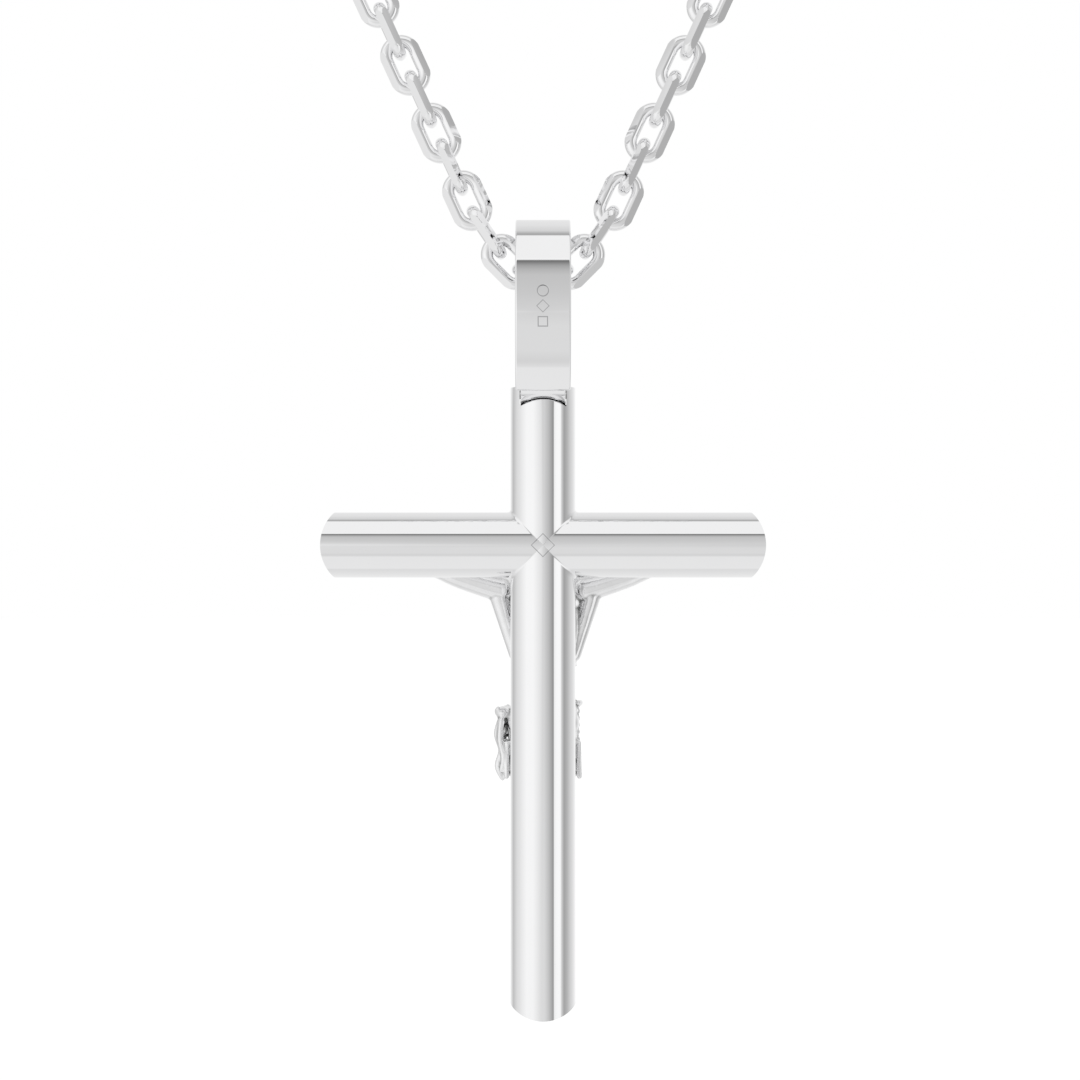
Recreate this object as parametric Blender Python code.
"""Silver crucifix pendant hanging on an anchor chain.

The frame has +Z up, +X to the right and the figure on the +Y side. The origin is halfway between the
two end rings that hold the chain. The chain, the bail and the cross each swing about an X axis.
"""

import math

import bmesh
import bpy
from mathutils import Matrix, Vector

MM = 0.001
X_AXIS, Y_AXIS, Z_AXIS = Vector((1, 0, 0)), Vector((0, 1, 0)), Vector((0, 0, 1))

# Bars of the cross
BAR_R = 2.28 * MM
BAR_SIDES = 48
CROSSING_Z = -40.46 * MM
FOOT_Z = -73.35 * MM  # lowest point of the upright's arched end
EAR_TOP_Z = -29.47 * MM
ARM_REACH = 15.39 * MM
ARCH_RISE = 0.84 * MM  # how far a bar's arched end stands out past its sides
FIT = 0.02 * MM  # clearance between brazed or pinned faces
CUT_MARGIN = 1.0 * MM

# Slot in the upright's head, in which the bail rocks
ROCK_Z = -27.35 * MM  # axis that the bail rocks about
TROUGH_R = 3.70 * MM
SLOT_HALF = 1.62 * MM
PIN_R = 0.25 * MM
PIN_Z = -30.00 * MM
PIN_HALF = 2.20 * MM

# Bail: a wide strap above, a narrow curved bar through the slot below
BAIL_TOP_Z = -17.745 * MM
STRAP_THICK = 1.22 * MM
STRAP_HALF = 1.91 * MM
CROWN_R, BACK_R, HEEL_R = 4.60 * MM, 11.20 * MM, 4.33 * MM
CROWN_END, BACK_END = math.radians(15), math.radians(-22)
SHOULDER = math.radians(48)  # where the strap ends, from straight down
BAR_HALF = 1.56 * MM
BAR_THICK = 0.70 * MM
BAR_OUTER_R = TROUGH_R - 0.06 * MM
HANG_Z = -19.67 * MM  # axis that the bail swings about on the chain

# Chain
WIRE_R = 0.44 * MM
LINK_LENGTH, LINK_WIDTH = 4.39 * MM, 2.93 * MM
LINK_ARC_STEPS = 7
LINK_SLACK = 0.026 * MM
LINK_SEAT = LINK_WIDTH / 2 - 3 * WIRE_R - LINK_SLACK  # from a bend's centre to the wire held in it
CENTRE_LINK_Z = -21.21 * MM
STRAND_TILTS = [math.radians(45), math.radians(34)] + 7 * [math.radians(24.6)]
RING_STEPS = 20

# Figure
NAIL_R, NAIL_HEAD_R, NAIL_HEAD = 0.22 * MM, 0.42 * MM, 0.26 * MM
NAIL_DEPTH = 0.7 * MM
HAND_X, HAND_Z, HAND_FACE_Y = 12.3 * MM, -40.55 * MM, 3.30 * MM
FOOT_NAIL_Z, FOOT_FACE_Y = -66.7 * MM, 5.05 * MM
FIGURE_VOXEL = 0.26 * MM
FIGURE_KEEP = 0.20  # share of the remeshed triangles that is kept
FIGURE_GAP = 0.04 * MM


def clear_scene():
    for obj in list(bpy.data.objects):
        bpy.data.objects.remove(obj, do_unlink=True)


def silver(name, roughness):
    """Bright rhodium-plated silver, at one of several grades of polish."""
    material = bpy.data.materials.new(name)
    material.use_nodes = True
    shader = material.node_tree.nodes["Principled BSDF"]
    shader.inputs["Base Color"].default_value = (0.91, 0.91, 0.92, 1)
    shader.inputs["Metallic"].default_value = 1.0
    shader.inputs["Roughness"].default_value = roughness
    return material


def add_object(name, data, material, parent=None):
    """Links a mesh or curve, with world coordinates kept if it has a parent."""
    obj = bpy.data.objects.new(name, data)
    bpy.context.scene.collection.objects.link(obj)
    if material:
        data.materials.append(material)
    if parent:
        obj.parent = parent
        obj.matrix_parent_inverse = parent.matrix_world.inverted()
    return obj


def finish_mesh(name, bm, material, parent=None):
    """Turns a bmesh into an object that is smooth except at sharp edges."""
    bmesh.ops.recalc_face_normals(bm, faces=bm.faces)
    mesh = bpy.data.meshes.new(name)
    bm.to_mesh(mesh)
    bm.free()
    mesh.shade_smooth()
    mesh.set_sharp_from_angle(angle=math.radians(35))
    return add_object(name, mesh, material, parent)


def cutter(name, bm):
    obj = finish_mesh(name, bm, None)
    obj.hide_render = True
    obj.display_type = "WIRE"
    return obj


def boolean(obj, other, operation):
    modifier = obj.modifiers.new(f"{operation.lower()}_{other.name}", "BOOLEAN")
    modifier.operation = operation
    modifier.object = other
    return modifier


def axis_empty(name, z, parent=None):
    """An empty on a joint's axis, which runs along X."""
    empty = bpy.data.objects.new(name, None)
    bpy.context.scene.collection.objects.link(empty)
    empty.empty_display_size = 2 * MM
    empty.location = (0, 0, z)
    bpy.context.view_layer.update()
    if parent:
        empty.parent = parent
        empty.matrix_parent_inverse = parent.matrix_world.inverted()
    bpy.context.view_layer.update()
    return empty


def rod(start, end, radius, sides=BAR_SIDES, end_radius=None):
    """A round bar, or a taper, between two points."""
    bm = bmesh.new()
    add_rod(bm, start, end, radius, sides, end_radius)
    return bm


def add_rod(bm, start, end, radius, sides, end_radius=None):
    start, end = Vector(start), Vector(end)
    turn = (end - start).to_track_quat("Z", "Y").to_matrix().to_4x4()
    bmesh.ops.create_cone(
        bm,
        cap_ends=True,
        segments=sides,
        radius1=radius,
        radius2=radius if end_radius is None else end_radius,
        depth=(end - start).length,
        matrix=Matrix.Translation((start + end) / 2) @ turn,
    )


def extruded(outline, direction, half_width):
    """A closed outline, extruded half_width to each side of itself."""
    bm = bmesh.new()
    offset = direction * half_width
    face = bm.faces.new([bm.verts.new(point - offset) for point in outline])
    result = bmesh.ops.extrude_face_region(bm, geom=[face])
    moved = [item for item in result["geom"] if isinstance(item, bmesh.types.BMVert)]
    bmesh.ops.translate(bm, verts=moved, vec=2 * offset)
    return bm


def arc(centre_y, centre_z, radius, start, end, steps):
    """Points in the YZ plane; angles are from -Y, positive upwards."""
    turn = (end - start) / steps
    angles = [start + turn * i for i in range(steps + 1)]
    return [
        Vector((0, centre_y - radius * math.cos(a), centre_z + radius * math.sin(a)))
        for a in angles
    ]


def arch(along, across, tip, side_span):
    """A bar's arched end: an arc through its tip, out past the bar's two sides."""
    radius = (BAR_R**2 + ARCH_RISE**2) / (2 * ARCH_RISE)
    half = math.asin(side_span / radius)
    angles = [half * (i / 8 - 1) for i in range(17)]
    return [
        along * (tip - radius + radius * math.cos(a)) + across * (radius * math.sin(a))
        for a in angles
    ]


def bar_outline(along, across, tip, back):
    """The outline of a bar with an arched tip and a straight back end."""
    span = BAR_R + 0.3 * MM
    points = arch(along, across, tip, span)
    return points + [along * back + across * span, along * back - across * span]


def upright(material, parent):
    tip = -FOOT_Z
    top, bottom = Vector((0, 0, EAR_TOP_Z)), Vector((0, 0, FOOT_Z - CUT_MARGIN))
    bar = finish_mesh("upright", rod(bottom, top, BAR_R), material, parent)
    outline = bar_outline(-Z_AXIS, X_AXIS, tip, -EAR_TOP_Z - CUT_MARGIN)
    boolean(bar, cutter("upright_outline", extruded(outline, Y_AXIS, 2 * BAR_R)), "INTERSECT")
    slot_ends = X_AXIS * SLOT_HALF
    trough_axis = Vector((0, 0, ROCK_Z))
    trough = rod(trough_axis - slot_ends, trough_axis + slot_ends, TROUGH_R, 64)
    boolean(bar, cutter("trough_cutter", trough), "DIFFERENCE")
    pin_centre = Vector((0, 0, PIN_Z))
    hole = rod(pin_centre - X_AXIS * 2 * BAR_R, pin_centre + X_AXIS * 2 * BAR_R, PIN_R + FIT, 24)
    boolean(bar, cutter("pin_hole_cutter", hole), "DIFFERENCE")
    return bar


def arm(side, material, parent):
    """One arm, coped against the upright. side is +1 on the right and -1 on the left."""
    name = "right_arm" if side > 0 else "left_arm"
    centre = Vector((0, 0, CROSSING_Z))
    along = X_AXIS * side
    blank = rod(centre + along * 0.3 * MM, centre + along * (ARM_REACH + CUT_MARGIN), BAR_R)
    bar = finish_mesh(name, blank, material, parent)
    outline = [p + centre for p in bar_outline(along, Z_AXIS, ARM_REACH, 0)]
    boolean(bar, cutter(f"{name}_outline", extruded(outline, Y_AXIS, 2 * BAR_R)), "INTERSECT")
    span = Z_AXIS * 2 * BAR_R
    cope = rod(centre - span, centre + span, BAR_R + FIT)
    boolean(bar, cutter(f"{name}_cope", cope), "DIFFERENCE")
    return bar


def bail_outline(shrink):
    """Half of the strap's outline, from the crown down the -Y side to the shoulder."""
    crown_z = BAIL_TOP_Z - CROWN_R
    back_y = -(CROWN_R - BACK_R) * math.cos(CROWN_END)
    back_z = crown_z + (CROWN_R - BACK_R) * math.sin(CROWN_END)
    heel_y = back_y + (HEEL_R - BACK_R) * math.cos(BACK_END)
    heel_z = back_z - (HEEL_R - BACK_R) * math.sin(BACK_END)
    crown = arc(0, crown_z, CROWN_R - shrink, math.pi / 2, CROWN_END, 8)
    back = arc(back_y, back_z, BACK_R - shrink, CROWN_END, BACK_END, 6)
    radius = HEEL_R - shrink
    # Where the heel's arc crosses the shoulder's plane, which goes through the rocking axis
    offset = heel_z - ROCK_Z
    along = math.sqrt(radius**2 - (offset * math.sin(SHOULDER)) ** 2) - offset * math.cos(SHOULDER)
    heel_end = math.asin((-along * math.cos(SHOULDER) - offset) / radius)
    heel = arc(heel_y, heel_z, radius, BACK_END, heel_end, 4)
    return crown + back[1:] + heel[1:]


def mirrored(points):
    return [Vector((p.x, -p.y, p.z)) for p in points]


def bail(material, parent):
    outer, inner = bail_outline(0), bail_outline(STRAP_THICK)
    outline = outer[::-1] + mirrored(outer)[1:] + mirrored(inner)[::-1] + inner[1:]
    strap = finish_mesh("bail", extruded(outline, X_AXIS, STRAP_HALF), material, parent)
    reach = SHOULDER + math.radians(4)
    start, end = reach - math.pi / 2, -reach - math.pi / 2
    bar = arc(0, ROCK_Z, BAR_OUTER_R, start, end, 20)
    bar += arc(0, ROCK_Z, BAR_OUTER_R - BAR_THICK, end, start, 20)
    lower = cutter("bail_bar", extruded(bar, X_AXIS, BAR_HALF))
    boolean(strap, lower, "UNION")
    return strap


def bail_pin(material, parent):
    centre = Vector((0, 0, PIN_Z))
    pin = rod(centre - X_AXIS * PIN_HALF, centre + X_AXIS * PIN_HALF, PIN_R, 20)
    return finish_mesh("bail_pin", pin, material, parent)


def wire_loop(name, points):
    """A closed loop of round wire along the points, in the XZ plane."""
    curve = bpy.data.curves.new(name, "CURVE")
    curve.dimensions = "3D"
    curve.bevel_depth = WIRE_R
    curve.bevel_resolution = 1
    spline = curve.splines.new("POLY")
    spline.points.add(len(points) - 1)
    for target, (x, z) in zip(spline.points, points):
        target.co = (x, 0, z, 1)
    spline.use_cyclic_u = True
    return curve


def link_shape():
    """An anchor link, long along Z: two half rounds joined by short straight sides."""
    radius = LINK_WIDTH / 2 - WIRE_R
    straight = LINK_LENGTH / 2 - WIRE_R - radius
    half = [
        (radius * math.cos(a), straight + radius * math.sin(a))
        for a in (math.pi * i / LINK_ARC_STEPS for i in range(LINK_ARC_STEPS + 1))
    ]
    return wire_loop("chain_link", half + [(-x, -z) for x, z in half])


def ring_shape(radius):
    angles = [2 * math.pi * i / RING_STEPS for i in range(RING_STEPS)]
    return wire_loop("end_ring", [(radius * math.cos(a), radius * math.sin(a)) for a in angles])


def tilted(angle):
    """The direction down a strand on the left, at an angle from straight down."""
    return Vector((math.sin(angle), 0, -math.cos(angle)))


def link_reach(face_on):
    """From a link's centre to the point that its neighbour's wire or bend turns about."""
    bend = LINK_WIDTH / 2 - WIRE_R
    straight = LINK_LENGTH / 2 - LINK_WIDTH / 2
    return straight if face_on else straight + bend


def strand_places():
    """(centre, tilt, face_on) of each link on the left, from the centre link upwards."""
    centre, direction, face_on = Vector((0, 0, CENTRE_LINK_Z)), X_AXIS, False
    places = []
    for tilt in STRAND_TILTS:
        above = tilted(tilt)
        between = (direction + above).normalized()
        centre = centre - direction * link_reach(face_on) - between * LINK_SEAT
        face_on = not face_on
        centre = centre - above * link_reach(face_on)
        direction = above
        places.append((centre, tilt, face_on))
    return places


def add_link(name, shape, place, material, parent):
    obj = add_object(name, shape, None, None)
    obj.matrix_world = place
    bpy.context.view_layer.update()
    obj.parent = parent
    obj.matrix_parent_inverse = parent.matrix_world.inverted()
    if not shape.materials:
        shape.materials.append(material)
    return obj


def link_matrix(centre, tilt, face_on, side):
    spin = Matrix.Identity(4) if face_on else Matrix.Rotation(math.pi / 2, 4, "Z")
    lean = Matrix.Rotation(side * tilt, 4, "Y")
    place = Vector((-side * centre.x, centre.y, centre.z))
    return Matrix.Translation(place) @ lean @ spin


def chain(material, parent):
    """The centre link, then nine links up each side."""
    shape = link_shape()
    centre = Vector((0, 0, CENTRE_LINK_Z))
    add_link("chain_link_00", shape, link_matrix(centre, math.pi / 2, False, 1), material, parent)
    for side, word in ((1, "right"), (-1, "left")):
        for i, (centre, tilt, face_on) in enumerate(strand_places(), start=1):
            place = link_matrix(centre, tilt, face_on, side)
            add_link(f"chain_link_{word}_{i:02d}", shape, place, material, parent)


def end_rings(material, parent):
    """Rings in the YZ plane, hooked through the last links, with their centres at z = 0."""
    centre, tilt, _ = strand_places()[-1]
    bend = centre - tilted(tilt) * link_reach(True)
    hook = bend + (Z_AXIS - tilted(tilt)).normalized() * LINK_SEAT
    shape = ring_shape(-hook.z)
    turn = Matrix.Rotation(math.pi / 2, 4, "Z")
    for side, word in ((1, "right"), (-1, "left")):
        place = Matrix.Translation((-side * hook.x, 0, 0)) @ turn
        add_link(f"end_ring_{word}", shape, place, material, parent)


def nail(name, x, z, face_y, material, parent):
    """A round-headed nail along Y: its head rests on the figure, its point is in the bar."""
    point = Vector((x, BAR_R - NAIL_DEPTH, z))
    neck = Vector((x, face_y + NAIL_HEAD / 2, z))
    bm = rod(point, neck, NAIL_R, 12)
    obj = finish_mesh(name, bm, material, parent)
    head = rod((x, face_y, z), (x, face_y + NAIL_HEAD, z), NAIL_HEAD_R, 14, NAIL_HEAD_R / 2)
    boolean(obj, cutter(f"{name}_head", head), "UNION")
    return obj


def nail_hole(name, x, z, face_y):
    hole = rod((x, BAR_R - NAIL_DEPTH - FIT, z), (x, face_y + MM, z), NAIL_R + 2 * FIT, 12)
    return cutter(f"{name}_hole", hole)


def add_ball(bm, centre, radii):
    size = Matrix.Diagonal((*radii, 1))
    place = Matrix.Translation(Vector(centre) * MM)
    bmesh.ops.create_uvsphere(
        bm, u_segments=20, v_segments=12, radius=MM, matrix=place @ size
    )


def add_limb(bm, joints):
    """A limb through (x, y, z, radius) joints, in millimetres."""
    for x, y, z, radius in joints:
        add_ball(bm, (x, y, z), (radius, radius, radius))
    for (x1, y1, z1, r1), (x2, y2, z2, r2) in zip(joints, joints[1:]):
        start, end = Vector((x1, y1, z1)) * MM, Vector((x2, y2, z2)) * MM
        add_rod(bm, start, end, r1 * MM, 20, r2 * MM)


ARM_JOINTS = [
    (3.05, 3.75, -43.65, 0.98),
    (7.40, 3.50, -42.20, 0.72),
    (11.4, 3.02, -40.85, 0.46),
    (13.0, 2.78, -40.40, 0.44),
]
LEG_JOINTS = [
    (1.15, 3.90, -55.2, 1.35),
    (1.00, 5.10, -60.6, 0.98),
    (0.50, 3.75, -65.4, 0.60),
]
TORSO_BALLS = [
    ((0.1, 3.75, -44.6), (2.75, 1.35, 1.50)),
    ((0.1, 3.85, -46.6), (2.55, 1.50, 1.90)),
    ((0.1, 3.75, -49.4), (2.25, 1.30, 2.20)),
    ((0.05, 3.80, -52.2), (2.35, 1.40, 1.70)),
    ((0.0, 3.85, -54.2), (2.55, 1.50, 2.10)),
]
HEAD_BALLS = [
    ((0.95, 4.75, -42.35), (1.35, 1.45, 1.65)),
    ((1.25, 4.30, -42.60), (1.50, 1.20, 1.70)),
    ((2.35, 3.95, -43.85), (0.95, 0.85, 1.05)),
    ((1.15, 5.60, -43.65), (0.65, 0.55, 0.80)),
]
FOOT_BALLS = [
    ((0.15, 3.90, -66.4), (0.85, 1.05, 0.95)),
    ((0.15, 4.35, -67.5), (0.95, 0.65, 0.90)),
]
CLOTH_BALLS = [
    ((0.0, 3.90, -53.4), (2.75, 1.65, 1.95)),
    ((0.0, 4.10, -55.6), (2.60, 1.75, 1.80)),
    ((-2.75, 3.95, -53.3), (0.80, 0.90, 1.30)),
    ((-2.85, 3.90, -55.5), (0.62, 0.75, 1.55)),
]


def figure_blank():
    bm = bmesh.new()
    for side in (1, -1):
        add_limb(bm, [(side * x, y, z, r) for x, y, z, r in ARM_JOINTS])
        add_limb(bm, [(side * x, y, z, r) for x, y, z, r in LEG_JOINTS])
    add_limb(bm, [(0.1, 3.8, -44.0, 0.85), (0.75, 4.45, -42.6, 0.80)])
    for centre, radii in TORSO_BALLS + HEAD_BALLS + FOOT_BALLS + CLOTH_BALLS:
        add_ball(bm, centre, radii)
    return bm


def corpus(nails, material, parent):
    """The cast figure, cleared from the bars behind it and drilled for its nails."""
    figure = finish_mesh("corpus", figure_blank(), material, parent)
    remesh = figure.modifiers.new("remesh", "REMESH")
    remesh.mode = "VOXEL"
    remesh.voxel_size = FIGURE_VOXEL
    thin = figure.modifiers.new("thin", "DECIMATE")
    thin.ratio = FIGURE_KEEP
    centre, reach = Vector((0, 0, CROSSING_Z)), 20 * MM
    seat = BAR_R + FIGURE_GAP
    across = rod(centre - X_AXIS * reach, centre + X_AXIS * reach, seat)
    down = rod(centre - Z_AXIS * 2 * reach, centre + Z_AXIS * reach, seat)
    boolean(figure, cutter("arm_seat", across), "DIFFERENCE")
    boolean(figure, cutter("upright_seat", down), "DIFFERENCE")
    for hole in nails:
        boolean(figure, hole, "DIFFERENCE")
    return figure


def figure_and_nails(bars, material, pin_material, parent):
    places = {
        "hand_nail_right": (HAND_X, HAND_Z, HAND_FACE_Y, "right_arm"),
        "hand_nail_left": (-HAND_X, HAND_Z, HAND_FACE_Y, "left_arm"),
        "foot_nail": (0.15 * MM, FOOT_NAIL_Z, FOOT_FACE_Y, "upright"),
    }
    holes = []
    for name, (x, z, face_y, bar) in places.items():
        nail(name, x, z, face_y, pin_material, parent)
        hole = nail_hole(name, x, z, face_y)
        boolean(bars[bar], hole, "DIFFERENCE")
        holes.append(hole)
    corpus(holes, material, parent)


def main():
    clear_scene()
    polished = silver("polished_silver", 0.07)
    cast = silver("cast_silver", 0.16)
    wire = silver("chain_silver", 0.1)
    hang = axis_empty("chain_swing_axis", 0)
    on_chain = axis_empty("bail_swing_axis", HANG_Z, hang)
    on_bail = axis_empty("cross_rock_axis", ROCK_Z, on_chain)
    end_rings(wire, hang)
    chain(wire, hang)
    bail(polished, on_chain)
    bars = {
        "upright": upright(polished, on_bail),
        "right_arm": arm(1, polished, on_bail),
        "left_arm": arm(-1, polished, on_bail),
    }
    bail_pin(polished, on_bail)
    figure_and_nails(bars, cast, polished, on_bail)


main()
